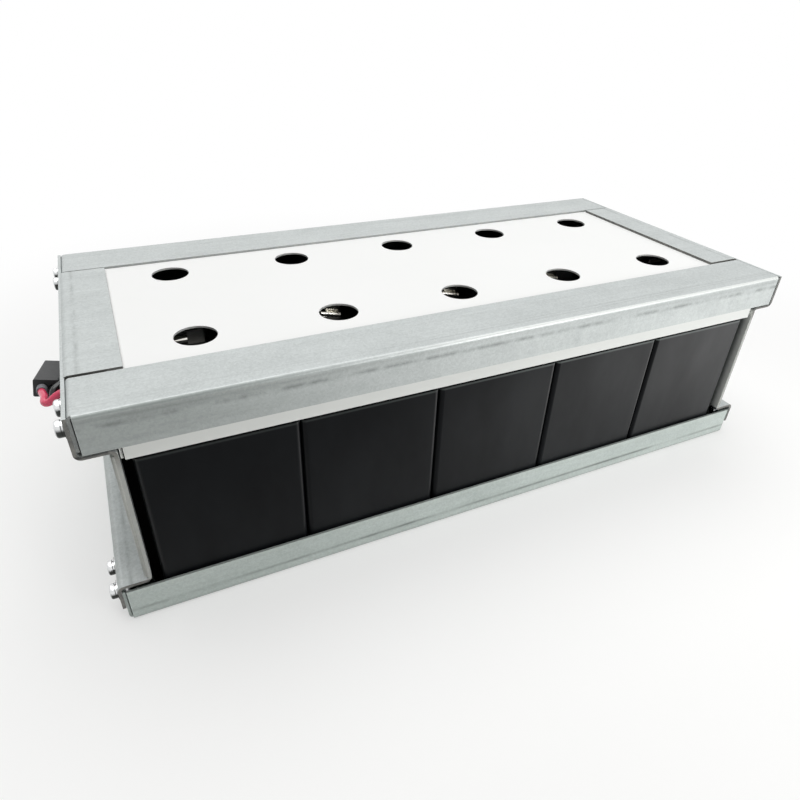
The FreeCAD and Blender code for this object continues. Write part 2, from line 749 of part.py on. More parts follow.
def make_connector():
    """Two-pole housing, open at its far end, with a flat contact for each pole."""
    body = new_body("connector_housing")
    section = new_sketch(body, "XZ_Plane")
    middle_z = -cell("housing_height") / 2
    draw_rectangle(section, as_size(0), cell("housing_width"), -cell("housing_height"), as_size(0),
                   cell("housing_corner"))
    pad(body, section, cell("housing_length"), symmetric=False, backwards=True)
    entries = new_sketch(body, "XZ_Plane")
    mouths = new_sketch(body, "XZ_Plane", -cell("housing_length"))
    half_width, half_height = cell("contact_cavity_width") / 2, cell("contact_cavity_height") / 2
    for pole in (0, 1):
        draw_circle(entries, pole_x(pole), middle_z, cell("wire_cavity_diameter"))
        draw_rectangle(mouths, pole_x(pole) - half_width, pole_x(pole) + half_width,
                       middle_z - half_height, middle_z + half_height)
    pocket(body, entries, cell("wire_cavity_depth"))
    pocket(body, mouths, cell("contact_cavity_depth"), backwards=True)
    body.Placement = housing_placement()
    keep(body)
    contacts = new_body("connector_contacts")
    blades = new_sketch(contacts, "XZ_Plane", -(cell("housing_length") - cell("contact_cavity_depth")))
    half_blade, half_thick = cell("contact_width") / 2, cell("contact_thickness") / 2
    for pole in (0, 1):
        draw_rectangle(blades, pole_x(pole) - half_thick, pole_x(pole) + half_thick,
                       middle_z - half_blade, middle_z + half_blade)
    pad(contacts, blades, cell("contact_length"), symmetric=False, backwards=True)
    contacts.Placement = housing_placement()
    keep(contacts)


def pole_entry(pole, before=0.0):
    """Where a lead meets the floor of its entry in the housing, or a point straight before it."""
    depth = cell("wire_cavity_depth").value - before
    local = Vector(pole_x(pole).value, depth, -cell("housing_height").value / 2)
    return tuple(housing_placement().multVec(local))


def make_free_leads():
    for label, exit_y, route, pole in (("red_lead", red_exit_y, RED_ROUTE, 0),
                                       ("black_lead", black_exit_y, BLACK_ROUTE, 1)):
        start = (-lead_joint_x.value, exit_y.value, wire_z.value)
        middle_run = [tuple(lead_window_middle() + Vector(*point)) for point in route]
        last_run = [pole_entry(pole, cell("lead_end_run").value), pole_entry(pole)]
        knots = [start] + middle_run + last_run
        make_tube(label, knots, cell("lead_diameter"))
        print(label, "points", [tuple(round(place, 2) for place in knot) for knot in knots])


def make_grommet():
    body = new_body("lead_grommet")
    thickness, plate = cell("grommet_flange_thickness"), cell("plate_sheet")
    layers = ((-grommet_face_x, thickness, cell("grommet_flange")), (-plate_outer_x, plate, as_size(0)),
              (-tab_outer_x, thickness, cell("grommet_flange")))
    for low_x, length, margin in layers:
        outline = new_sketch(body, "YZ_Plane", low_x)
        draw_lead_window(outline, margin)
        pad(body, outline, length, symmetric=False)
    bore = new_sketch(body, "YZ_Plane")
    draw_lead_window(bore, -cell("grommet_wall"))
    pocket(body, bore)
    return keep(body)


def make_rings(label, end, start, thickness, outer, slit=None):
    """Eight washers or nuts of one end, each a ring whose near face lies start from the middle."""
    body = new_body(label)
    sketch = new_sketch(body, "YZ_Plane", end_offset(end, start))
    for y, z in screw_places():
        draw_circle(sketch, y, z, outer)
        draw_circle(sketch, y, z, cell("screw_diameter") + cell("screw_clearance"))
    pad(body, sketch, thickness, symmetric=False, backwards=end < 0)
    if slit is not None:
        gaps = new_sketch(body, "YZ_Plane")
        for y, z in screw_places():
            draw_rectangle(gaps, y - slit / 2, y + slit / 2, z, z + outer)
        pocket(body, gaps, symmetric=True)
    return keep(body)


def make_screws(label, end):
    """Eight pan-head screws of one end, with a cross recess each."""
    body = new_body(label)
    under_head = plate_outer_x + cell("flat_washer_thickness") + cell("lock_washer_thickness")
    head_face = under_head + cell("head_height")
    heads = new_sketch(body, "YZ_Plane", end_offset(end, under_head))
    shanks = new_sketch(body, "YZ_Plane", end_offset(end, under_head))
    for y, z in screw_places():
        draw_circle(heads, y, z, cell("head_diameter"))
        draw_circle(shanks, y, z, cell("screw_diameter"))
    head = pad(body, heads, cell("head_height"), symmetric=False, backwards=end < 0)
    rims = edges_at(head, 0, (head_face * end).value)
    dome = body.newObject("PartDesign::Fillet", f"{label}_dome")
    dome.Base = (head, rims)
    dome.setExpression("Radius", cell("head_round").text)
    nut_low = tab_outer_x - cell("rail_sheet") - cell("nut_thickness")
    pad(body, shanks, under_head - nut_low + cell("screw_tail"), symmetric=False, backwards=end > 0)
    half_width, half_length = cell("cross_width") / 2, cell("cross_length") / 2
    for across, along in ((half_length, half_width), (half_width, half_length)):
        recess = new_sketch(body, "YZ_Plane", end_offset(end, head_face))
        for y, z in screw_places():
            draw_rectangle(recess, y - across, y + across, z - along, z + along)
        pocket(body, recess, cell("cross_depth"), backwards=end < 0)
    return keep(body)


def make_fasteners():
    washer = plate_outer_x + cell("flat_washer_thickness")
    nut_low = tab_outer_x - cell("rail_sheet") - cell("nut_thickness")
    for name, end in (("left", -1), ("right", 1)):
        make_screws(f"{name}_end_screws", end)
        make_rings(f"{name}_flat_washers", end, plate_outer_x, cell("flat_washer_thickness"),
                   cell("flat_washer_diameter"))
        make_rings(f"{name}_lock_washers", end, washer, cell("lock_washer_thickness"),
                   cell("lock_washer_diameter"), cell("lock_washer_slit"))
        make_rings(f"{name}_press_nuts", end, nut_low, cell("nut_thickness"), cell("nut_diameter"))


def make_packing():
    """The insulating sheet under the batteries and the foam pad at each end of the block."""
    insulator = box("tray_insulator", block_half_length * 2, battery_face_y * 2, cell("insulator_thickness"),
                    -block_half_length, -battery_face_y, cell("tray_sheet"))
    insulator.Label = "tray_insulator"
    keep(insulator)
    for name, low_x in (("left", -wall_inner_x), ("right", block_half_length)):
        foam = box(f"{name}_foam_pad", cell("end_gap"), cell("pad_width"), cell("pad_height"),
                   low_x, -cell("pad_width") / 2, cell("tray_sheet"))
        foam.Label = f"{name}_foam_pad"
        keep(foam)


def check_and_write():
    """Refuse a failed feature or an empty solid, then write each sub-part to its own file."""
    doc.recompute()
    for item in doc.Objects:
        if "Invalid" in item.State or "Error" in item.State:
            raise RuntimeError(f"{item.Name} failed: {item.State}")
    for piece in parts:
        if piece.Shape.isNull() or not piece.Shape.isValid() or piece.Shape.Volume <= 0:
            raise RuntimeError(f"{piece.Label} has no valid solid")
    os.makedirs("parts", exist_ok=True)
    for piece in parts:
        piece.Shape.exportStep(f"parts/{piece.Label}.step")


make_bottom_tray()
make_top_rail("front_top_rail", -1)
make_top_rail("back_top_rail", 1)
make_end_plate("left_end_plate", -1)
make_end_plate("right_end_plate", 1)
make_top_cover()
for row_name, side in (("front", -1), ("back", 1)):
    for column in range(COLUMNS):
        make_battery(row_name, side, column)
    make_vent_strips(row_name, side)
make_tabs("positive_tabs", cell("positive_tab_offset"))
make_tabs("negative_tabs", cell("negative_tab_offset"))
make_receptacles("positive_receptacles", cell("positive_tab_offset"), -1)
make_receptacles("negative_receptacles", cell("negative_tab_offset"), 1, turned=(2 * COLUMNS - 2,))
make_links()
make_inner_leads()
make_free_leads()
make_grommet()
make_connector()
make_fasteners()
make_packing()
check_and_write()
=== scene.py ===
import json
import math

import bmesh
import bpy
from mathutils import Matrix, Vector


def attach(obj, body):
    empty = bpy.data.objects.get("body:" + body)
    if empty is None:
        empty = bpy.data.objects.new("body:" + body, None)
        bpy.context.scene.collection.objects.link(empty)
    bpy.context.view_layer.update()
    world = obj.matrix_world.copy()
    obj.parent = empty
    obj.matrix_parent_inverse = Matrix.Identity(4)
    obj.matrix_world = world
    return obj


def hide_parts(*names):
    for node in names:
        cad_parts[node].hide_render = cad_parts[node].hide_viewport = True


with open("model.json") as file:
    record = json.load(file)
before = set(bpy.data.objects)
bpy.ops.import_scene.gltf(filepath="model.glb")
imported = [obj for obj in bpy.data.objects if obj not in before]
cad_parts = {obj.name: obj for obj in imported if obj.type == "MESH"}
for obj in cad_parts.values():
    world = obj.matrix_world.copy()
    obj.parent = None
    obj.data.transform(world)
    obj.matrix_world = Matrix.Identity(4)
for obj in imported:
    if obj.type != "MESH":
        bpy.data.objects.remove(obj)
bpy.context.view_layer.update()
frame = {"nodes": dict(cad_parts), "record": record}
nodes = frame["nodes"]

MM = 0.001
UP = Vector((0, 0, 1))

# The camera's place and lens in the photograph, fitted to the frame and the holes of the cover
EYE_MM = (-165.46, -308.66, 245.63)
CAMERA_AZIMUTH = -0.46038
CAMERA_ELEVATION = 0.57645
CAMERA_ROLL = -0.03662
FOCAL_PIXELS = 612.41
PHOTO_PIXELS = 800
SENSOR_MM = 36.0
NEAREST_SEEN_MM = 10.0

# Lead routes from the window in the left end plate to the connector
LEAD_DIAMETER_MM = 3.2
LEAD_ROUNDNESS = 6
LEAD_ORDER = 3
LEAD_STEPS = 12
RED_ROUTE_MM = [
    (-193.2, -55.1, 105.2), (-196.3, -55.1, 105.2), (-200.1, -55.5, 103.5), (-202.9, -55.5, 101.0),
    (-205.2, -53.0, 100.2), (-204.8, -46.9, 99.8), (-207.03, -38.59, 98.28), (-206.32, -31.39, 96.76),
]
BLACK_ROUTE_MM = [
    (-193.2, -48.3, 105.2), (-196.4, -48.3, 105.2), (-200.1, -50.5, 104.4), (-201.2, -52.1, 101.6),
    (-201.8, -51.0, 98.4), (-202.3, -46.6, 96.5), (-202.94, -39.16, 97.51), (-202.23, -31.95, 95.99),
]

# The sleeve at the connector end of the red lead, measured from the lead's end, with the shares
# of its diameter that its two rounded ends step through
SLEEVE_DIAMETER_MM = 4.3
SLEEVE_START_MM = 4.0
SLEEVE_END_MM = 9.5
SLEEVE_SIDES = 24
SLEEVE_FIRST_END = (0.86, 1.0)
SLEEVE_LAST_END = (0.97, 0.84)

# The ribbed crimp barrels under the middle holes of the front row: left ends, and one barrel's sizes
BARREL_STARTS_MM = [(-75.0, -30.0, 109.0), (-3.6, -30.0, 109.0), (66.0, -30.0, 109.0)]
BARREL_SIZES_MM = {"Length": 10.6, "Radius": 1.1, "Rib Width": 0.55}
BARREL_TILT = math.radians(14)
BARREL_RIBS = 6
RIB_SWELL = 1.22

# The hems on the recess walls: the sheet folded back on its outer side, with a rounded front
HEM_WALL_X_MM = 182.02
HEM_FRONT_Y_MM = 92.0
HEM_THICKNESS_MM = 1.5
HEM_LENGTH_MM = 6.0
HEM_HEIGHTS_MM = (23.8, 92.6)
HEM_STEPS = 6
FLAT_FACE = 0.999

# Where faces and edges of the sheets lie, in metres from the middle or from the floor
OUTER_FACE_Y = 0.0915
RAIL_FLANGE_Y = 0.0913
RAIL_EDGE_Z = 0.0985
SHEET_END_X = 0.1928
LIP_EDGE_Z = 0.0165
RECESS_WALL_X = 0.181
RECESS_EDGE_X = 0.1836
RECESS_FOOT_Z = 0.022
FLANGE_EDGE_X = 0.1725
PLATE_FOOT_Z = 0.0085

# A face square to an axis has at least this share of its direction along it
SQUARE_FACE = 0.9

# Marks along the sheets, and a painted shadow line on the end plates' front edges under the rails:
# place and reach to either side in metres, and strength
RAIL_DASHES = (0.1082, 0.0016, 0.55)
RAIL_SMEARS = (0.1112, 0.0026, 0.36)
RAIL_TOP_STREAKS = ((0.0866, 0.0009, 0.24), (0.0843, 0.0009, 0.24))
LIP_DASHES = (0.0061, 0.0013, 0.85)
LIP_BEND_LINE = (0.0008, 0.0016, 0.35)
FLANGE_BAND = (0.1893, 0.0016, 0.35)
PLATE_EDGE_SHADE = (0.0958, 0.001, 0.9)

# Wear, smudges, painted highlights and painted shade on the sheets: where each begins and where it is
# full, in metres
FROST_ALONG = (-0.12, 0.12)
FROST_DOWN = (0.1085, 0.1055)
SMUDGE_AND_SHADE_ALONG = (-0.02, -0.19)
HIGHLIT_BEND = (-0.11, 0.04)
SMUDGED_AND_SHADED_BEND = (-0.06, -0.16)
SHADED_WALL = (0.0905, 0.0845)
PAINTED_LIGHT_ON_WALL = (0.087, 0.0915)
BRIGHT_EDGE = (0.094, 0.084)

# The rails' rounded bend, by how far its faces turn to the front and to the top
BEND_FRONT = (0.2, 0.45)
BEND_TOP = (0.2, 0.5)

# The seam between a battery's case and its lid, darkened as painted shade, and a painted highlight on
# the rim of the case under it: height and reach in metres; the highlight is stronger towards the right
LID_SEAM_SHADE = (0.0889, 0.0012)
CASE_RIM_HIGHLIGHT = (0.0873, 0.0009)
RIM_HIGHLIGHT_ALONG = (-0.12, 0.1)
RIM_HIGHLIGHT_LEVELS = (0.2, 0.7)

# The batteries' gloss grows with height, when seen aslant and where rubbed; side faces have none
GLOSS_UP = (0.02, 0.089)
GLOSS_LEVELS = (0.52, 1.15)
GLOSS_ASLANT = (0.2, 0.62)
GLOSS_RUBBED = (0.74, 1.08)
GLOSS_OFF_SIDES = (0.9, 0.5)

# Where the washers meet each other and the screw heads, in metres out from the middle; painted shade
# lines lie there
WASHER_SEAMS = (0.1964, 0.1973)
SEAM_REACH = 0.00032

# How far faces of screws and washers turn from the end, and from the top, to be rims and the
# undersides that get painted shade
SCREW_RIM = (0.8, 0.45)
SCREW_UNDERSIDE = (0.55, 0.1)

# Depths of the fine relief, in metres
FINE_GRAIN = 0.00001
ROLLING_STREAKS = 0.00002

# Lamps, surroundings and floor; lengths in metres
SUN_STRENGTH = 2.62
SUN_WIDTH = math.radians(70)
SUN_LEAN = math.radians(-12)
PANEL_SIZE = 0.4
PANEL_WATTS = 0.66
PANEL_SPREAD = math.radians(70)
PANEL_PLACE = (0.38, -0.66, 0.2)
PANEL_AIM = (0.14, -0.09, 0.06)
FILL_LIGHT = 0.07
WHITE = (1.0, 1.0, 1.0, 1.0)
FLOOR_REACH = 6.0
FLOOR_DROP = 0.0001
FLOOR_FADE = (0.2, 0.55)
FLOOR_GLOW = (0.45, 1.0)


def linear(red, green, blue):
    """A screen colour of 0 to 255 as the linear RGBA that a shader takes."""
    channels = []
    for value in (red, green, blue):
        share = value / 255
        channels.append(share / 12.92 if share <= 0.04045 else ((share + 0.055) / 1.055) ** 2.4)
    return (*channels, 1.0)


# Colours of the finishes; tones are a dark and a light one
ZINC_TONES = (linear(164, 169, 168), linear(202, 207, 206))
TRAY_TONES = (linear(162, 171, 167), linear(199, 208, 204))
HEM_TONES = (linear(150, 151, 146), linear(178, 179, 174))
FROST = linear(222, 227, 223)
# Painted highlight for the rails' bend and the recess walls' front edges
PAINTED_HIGHLIGHT = linear(238, 240, 236)
# Smudges, and painted shade on the rails towards the left end
SMUDGE_AND_SHADE = linear(112, 119, 115)
# Press marks, and painted shade inside the recess walls
PRESS_MARK_AND_SHADE = linear(84, 89, 86)
CUT_TONES = (linear(84, 85, 84), linear(132, 131, 126))
CUT_SHADE = linear(24, 25, 25)
CUT_BRIGHT = linear(170, 172, 168)
COVER_TONES = (linear(245, 246, 244), linear(249, 249, 248))
# The flaps' tones, greyer than the top's as painted shade
SHADED_FLAP_TONES = (linear(213, 215, 212), linear(218, 220, 217))
BATTERY_TONES = (linear(12, 13, 15), linear(20, 22, 24))
# Painted highlight on the battery cases' rim
RIM_HIGHLIGHT_COLOUR = linear(104, 110, 108)
# Painted shade along the lid seam
SEAM_SHADE_COLOUR = linear(4, 5, 5)
PLATED_TONES = (linear(206, 208, 209), linear(236, 237, 237))
# Painted shade on screw and washer undersides
UNDERSIDE_SHADE = linear(58, 60, 58)
# Painted shade between the washers
WASHER_SEAM_SHADE = linear(46, 46, 45)
PAPER_TONES = (linear(240, 240, 238), linear(244, 244, 242))


def metres(point):
    return Vector(point) * MM


def link_object(name, data):
    piece = bpy.data.objects.new(name, data)
    bpy.context.scene.collection.objects.link(piece)
    return piece


def place_camera():
    """Camera at the photograph's place, looking down over the left front corner."""
    level = math.cos(CAMERA_ELEVATION)
    sideways = -math.sin(CAMERA_AZIMUTH) * level
    inward = math.cos(CAMERA_AZIMUTH) * level
    forward = Vector((sideways, inward, -math.sin(CAMERA_ELEVATION)))
    right = forward.cross(UP).normalized()
    down = forward.cross(right)
    turn, lean = math.cos(CAMERA_ROLL), math.sin(CAMERA_ROLL)
    right, down = right * turn + down * lean, down * turn - right * lean
    data = bpy.data.cameras.new("photo_camera")
    data.sensor_width = SENSOR_MM
    data.lens = FOCAL_PIXELS * SENSOR_MM / PHOTO_PIXELS
    data.clip_start = NEAREST_SEEN_MM * MM
    camera = link_object("photo_camera", data)
    axes = Matrix((right, -down, -forward)).transposed().to_4x4()
    camera.matrix_world = Matrix.Translation(metres(EYE_MM)) @ axes
    bpy.context.scene.camera = camera


def feed(tree, socket, source):
    """Link a socket, or set its plain value."""
    if isinstance(source, bpy.types.NodeSocket):
        tree.links.new(source, socket)
    else:
        socket.default_value = source


def add_node(tree, kind, inputs=None, **settings):
    """A node with its settings made first, then its inputs, by name or number, linked or set."""
    made = tree.nodes.new(kind)
    for name, value in settings.items():
        setattr(made, name, value)
    for key, source in (inputs or {}).items():
        feed(tree, made.inputs[key], source)
    return made


class Surface:
    """A material with its shader, its object coordinates and short ways to add nodes."""

    def __init__(self, name, metallic=0.0):
        self.material = bpy.data.materials.new(name)
        self.material.use_nodes = True
        self.tree = self.material.node_tree
        self.shader = self.tree.nodes["Principled BSDF"]
        self.feed("Metallic", metallic)
        self.place = self.node("ShaderNodeTexCoord").outputs["Object"]

    def node(self, kind, inputs=None, **settings):
        return add_node(self.tree, kind, inputs, **settings)

    def feed(self, name, source):
        """Link or set one of the shader's own inputs."""
        feed(self.tree, self.shader.inputs[name], source)

    def math(self, operation, first, second=0.0):
        return self.node("ShaderNodeMath", {0: first, 1: second}, operation=operation).outputs[0]

    def above(self, value, limit):
        return self.math("GREATER_THAN", value, limit)

    def below(self, value, limit):
        return self.math("LESS_THAN", value, limit)

    def size(self, value):
        return self.math("ABSOLUTE", value)

    def both(self, first, *others):
        """A mask that is full only where all of them are."""
        for other in others:
            first = self.math("MULTIPLY", first, other)
        return first

    def either(self, first, *others):
        """A mask that is full where any of them is."""
        for other in others:
            first = self.math("MAXIMUM", first, other)
        return first

    def ramp(self, value, start, stop):
        """0 at start and 1 at stop, eased between them and level outside."""
        limits = {"Value": value, "From Min": start, "From Max": stop}
        made = self.node("ShaderNodeMapRange", limits, interpolation_type="SMOOTHSTEP")
        return made.outputs["Result"]

    def spread(self, share, low, high):
        """A share of 0 to 1 as a value from low to high."""
        limits = {"Value": share, "To Min": low, "To Max": high}
        return self.node("ShaderNodeMapRange", limits).outputs["Result"]

    def mix(self, share, first, second):
        inputs = {"Factor": share, "A": first, "B": second}
        return self.node("ShaderNodeMix", inputs, data_type="RGBA").outputs["Result"]

    def split(self, vector):
        return self.node("ShaderNodeSeparateXYZ", {0: vector}).outputs

    def facing(self, socket="Normal"):
        return self.split(self.node("ShaderNodeNewGeometry").outputs[socket])

    def group(self, tree, **inputs):
        return self.node("ShaderNodeGroup", inputs, node_tree=tree).outputs[0]

    def patches(self, scale, contrast, stretch=(1, 1, 1)):
        """Uneven patches; a stretch below 1 draws them out along that axis."""
        return self.group(MOTTLE, Place=self.place, Stretch=stretch, Scale=scale, Contrast=contrast)

    def line(self, along, line, reach, broken=1.0):
        return self.group(LINE_MASK, Height=along, Line=line, Width=reach, Break=broken)

    def bump(self, height, depth, strength):
        inputs = {"Strength": strength, "Distance": depth, "Height": height}
        self.feed("Normal", self.node("ShaderNodeBump", inputs).outputs["Normal"])

    def finish(self, colour, roughness):
        self.feed("Base Color", colour)
        self.feed("Roughness", roughness)
        return self.material


def new_group(name, output, **inputs):
    """An empty shader group with named inputs and one number out; the tree and its two ends."""
    tree = bpy.data.node_groups.new(name, "ShaderNodeTree")
    for label, kind in inputs.items():
        tree.interface.new_socket(name=label, in_out="INPUT", socket_type=f"NodeSocket{kind}")
    tree.interface.new_socket(name=output, in_out="OUTPUT", socket_type="NodeSocketFloat")
    start = tree.nodes.new("NodeGroupInput").outputs
    return tree, start, tree.nodes.new("NodeGroupOutput").inputs


def mottle_group():
    """Soft uneven patches, stretched as the caller asks, from 0 to 1."""
    tree, start, end = new_group(
        "uneven_patches", "Mask", Place="Vector", Stretch="Vector", Scale="Float", Contrast="Float")
    middle = 0.5
    stretched = add_node(
        tree, "ShaderNodeVectorMath", {0: start["Place"], 1: start["Stretch"]}, operation="MULTIPLY")
    noise = add_node(tree, "ShaderNodeTexNoise", {
        "Vector": stretched.outputs[0], "Scale": start["Scale"], "Detail": 4.0, "Roughness": 0.6})
    centred = add_node(
        tree, "ShaderNodeMath", {0: noise.outputs["Fac"], 1: middle}, operation="SUBTRACT")
    gain = add_node(
        tree, "ShaderNodeMath", {0: centred.outputs[0], 1: start["Contrast"], 2: middle},
        operation="MULTIPLY_ADD", use_clamp=True)
    feed(tree, end["Mask"], gain.outputs[0])
    return tree


def spangle_group():
    """Zinc crystals of the hot-dip coat: a tone for each crystal, from 0 to 1."""
    tree, start, end = new_group("zinc_spangle", "Tone", Place="Vector", Scale="Float")
    shift = 0.004
    warp = add_node(tree, "ShaderNodeTexNoise", {"Vector": start["Place"], "Scale": 220.0})
    warped = add_node(
        tree, "ShaderNodeVectorMath",
        {0: warp.outputs["Color"], 1: (shift, shift, shift), 2: start["Place"]},
        operation="MULTIPLY_ADD")
    cells = add_node(
        tree, "ShaderNodeTexVoronoi", {"Vector": warped.outputs[0], "Scale": start["Scale"]})
    tone = add_node(tree, "ShaderNodeSeparateColor", {0: cells.outputs["Color"]})
    feed(tree, end["Tone"], tone.outputs["Red"])
    return tree


def line_mask_group():
    """A line mask for press marks, streaks, painted shade and painted highlights: full at Line, gone
    at Width or where Break is 0.
    """
    tree, start, end = new_group(
        "tinted_line", "Mask", Height="Float", Line="Float", Width="Float", Break="Float")

    def add(operation, *sources, **settings):
        inputs = dict(enumerate(sources))
        return add_node(tree, "ShaderNodeMath", inputs, operation=operation, **settings).outputs[0]

    distance = add("ABSOLUTE", add("SUBTRACT", start["Height"], start["Line"]))
    share = add("DIVIDE", distance, start["Width"])
    fade = add("SUBTRACT", 1.0, share, use_clamp=True)
    feed(tree, end["Mask"], add("MULTIPLY", fade, start["Break"]))
    return tree


MOTTLE = mottle_group()
SPANGLE = spangle_group()
LINE_MASK = line_mask_group()


class ZincSheet(Surface):
    """Hot-dip zinc on sheet steel: satin grey with fine crystals and rolling streaks.

    Marks, cut edges, painted highlights and painted shade go on top of that.
    """

    def __init__(self, name, tones=ZINC_TONES):
        super().__init__(name, metallic=0.3)
        self.x, self.y, self.z = self.split(self.place)
        self.face_x, self.face_y, self.face_z = self.facing("True Normal")
        crystals = self.group(SPANGLE, Place=self.place, Scale=1250.0)
        streaks = self.patches(scale=420.0, contrast=1.8, stretch=(0.03, 1, 1))
        clouds = self.patches(scale=60.0, contrast=1.6, stretch=(0.5, 1, 1))
        tone = self.weighted((crystals, 0.34), (streaks, 0.24), (clouds, 0.42))
        self.colour = self.mix(tone, *tones)
        self.roughness = self.spread(tone, low=0.54, high=0.4)
        self.bump(streaks, ROLLING_STREAKS, strength=0.4)

    def weighted(self, *shares):
        total = 0.0
        for value, weight in shares:
            total = self.math("ADD", self.math("MULTIPLY", value, weight), total)
        return total

    def square(self, face):
        """Faces that are square to an axis, on both sides."""
        return self.above(self.size(face), SQUARE_FACE)

    def tint(self, mask, colour, strength):
        self.colour = self.mix(self.both(mask, strength), self.colour, colour)

    def tinted_line(self, along, mark, broken, colour=PRESS_MARK_AND_SHADE):
        """Darken a broken line along the sheet."""
        line, reach, strength = mark
        self.tint(self.line(along, line, reach, broken), colour, strength)

    def cut_edges(self, mask, strength=1.0):
        """Bare steel where the sheet was sheared: part burnished, part torn."""
        torn = self.patches(scale=300.0, contrast=2.2)
        self.tint(mask, self.mix(torn, *CUT_TONES), strength)

    def done(self):
        return self.finish(self.colour, self.roughness)


def rail_steel():
    """The rails: frosted faces with press marks below the bend and bare cut edges.

    Smudges and painted shade darken the faces towards the left end, and the bend has a painted
    highlight towards the right and painted shade towards the left.
    """
    steel = ZincSheet("rail_steel")
    depth = steel.size(steel.y)
    outside = steel.above(depth, OUTER_FACE_Y)
    frost = steel.patches(scale=170.0, contrast=3.6, stretch=(1, 1, 0.3))
    dashes = steel.patches(scale=190.0, contrast=4.5, stretch=(0.5, 1, 0.3))
    smears = steel.patches(scale=160.0, contrast=3.0, stretch=(0.05, 1, 1))
    frosted = steel.both(steel.ramp(steel.x, *FROST_ALONG), steel.ramp(steel.z, *FROST_DOWN))
    steel.tint(steel.both(frost, outside, frosted), FROST, strength=0.2)
    # Smudges, and painted shade that darkens the front faces towards the left end
    smudged_and_shaded = steel.both(steel.ramp(steel.x, *SMUDGE_AND_SHADE_ALONG), steel.spread(smears, low=0.6, high=1.0))
    steel.tint(steel.both(smudged_and_shaded, outside), SMUDGE_AND_SHADE, strength=0.62)
    to_front = steel.ramp(steel.size(steel.face_y), *BEND_FRONT)
    bend = steel.both(to_front, steel.ramp(steel.face_z, *BEND_TOP))
    # Painted highlight along the bend, towards the right
    steel.tint(steel.both(bend, steel.ramp(steel.x, *HIGHLIT_BEND)), PAINTED_HIGHLIGHT, strength=0.55)
    # Painted shade along the bend towards the left, over smudges there
    steel.tint(steel.both(bend, steel.ramp(steel.x, *SMUDGED_AND_SHADED_BEND)), SMUDGE_AND_SHADE, strength=0.45)
    steel.tinted_line(steel.z, RAIL_DASHES, steel.both(dashes, outside))
    steel.tinted_line(steel.z, RAIL_SMEARS, steel.both(smears, outside))
    for streak in RAIL_TOP_STREAKS:
        steel.tinted_line(depth, streak, smears)
    inner = steel.both(steel.square(steel.face_y), steel.below(depth, RAIL_FLANGE_Y))
    lower = steel.both(steel.below(steel.face_z, -SQUARE_FACE), steel.below(steel.z, RAIL_EDGE_Z))
    ends = steel.both(steel.square(steel.face_x), steel.below(steel.size(steel.x), SHEET_END_X))
    steel.cut_edges(inner, strength=0.5)
    steel.cut_edges(steel.either(lower, ends))
    return steel.done()


def tray_steel():
    """The tray: a broken press mark along each lip, and a fainter line under it at the bend."""
    steel = ZincSheet("tray_steel", TRAY_TONES)
    outside = steel.above(steel.size(steel.y), OUTER_FACE_Y)
    dashes = steel.patches(scale=150.0, contrast=4.0, stretch=(0.12, 1, 0.3))
    pressed = steel.both(steel.spread(dashes, low=0.15, high=1.0), outside)
    steel.tinted_line(steel.z, LIP_DASHES, pressed)
    steel.tinted_line(steel.z, LIP_BEND_LINE, outside)
    top = steel.both(steel.above(steel.face_z, SQUARE_FACE), steel.above(steel.z, LIP_EDGE_Z))
    ends = steel.both(steel.square(steel.face_x), steel.below(steel.size(steel.x), SHEET_END_X))
    steel.cut_edges(top, strength=0.35)
    steel.cut_edges(ends, strength=0.7)
    return steel.done()


def plate_steel():
    """The end plates: every side edge is cut, and the top flange is marked beside its bend.

    The recess walls get painted shade inside, and painted light near their front and back edges.
    """
    steel = ZincSheet("plate_steel")
    out, depth = steel.size(steel.x), steel.size(steel.y)
    sides, upright = steel.square(steel.face_y), steel.square(steel.face_x)
    band = steel.patches(scale=260.0, contrast=4.0, stretch=(1, 0.4, 1))
    steel.tinted_line(out, FLANGE_BAND, band)
    wall = steel.both(upright, steel.below(out, RECESS_WALL_X))
    # Painted shade on the recess walls' inner faces, darkening away from the front and back edges
    steel.tint(steel.both(wall, steel.ramp(depth, *SHADED_WALL)), PRESS_MARK_AND_SHADE, strength=0.75)
    # Painted light on the same faces, near their front and back edges
    steel.tint(steel.both(wall, steel.ramp(depth, *PAINTED_LIGHT_ON_WALL)), PAINTED_HIGHLIGHT, strength=0.95)
    inner = steel.both(upright, steel.below(out, FLANGE_EDGE_X))
    lower = steel.both(steel.below(steel.face_z, -SQUARE_FACE), steel.below(steel.z, PLATE_FOOT_Z))
    steel.cut_edges(steel.either(sides, inner, lower))
    edge = steel.both(steel.below(out, RECESS_EDGE_X), steel.above(steel.z, RECESS_FOOT_Z), sides)
    steel.tint(steel.both(edge, steel.ramp(steel.z, *BRIGHT_EDGE)), CUT_BRIGHT, strength=0.85)
    outer = steel.both(sides, steel.above(out, RECESS_EDGE_X))
    # Painted shadow line on the end plates' outer front edges, under the rails
    steel.tinted_line(steel.z, PLATE_EDGE_SHADE, outer, CUT_SHADE)
    return steel.done()


def white_plastic():
    """Thin white sheet: the top is full white, and the flaps, which do not face up, are greyer as
    painted shade.
    """
    surface = Surface("white_plastic")
    patches = surface.patches(scale=12.0, contrast=1.2)
    surface.bump(surface.patches(scale=900.0, contrast=1.0), FINE_GRAIN, strength=0.4)
    shaded_flap = surface.mix(patches, *SHADED_FLAP_TONES)
    top = surface.mix(patches, *COVER_TONES)
    # Faces that do not point up, the flaps, get the greyer tones as painted shade
    colour = surface.mix(surface.facing()["Z"], shaded_flap, top)
    return surface.finish(colour, surface.spread(patches, low=0.46, high=0.55))


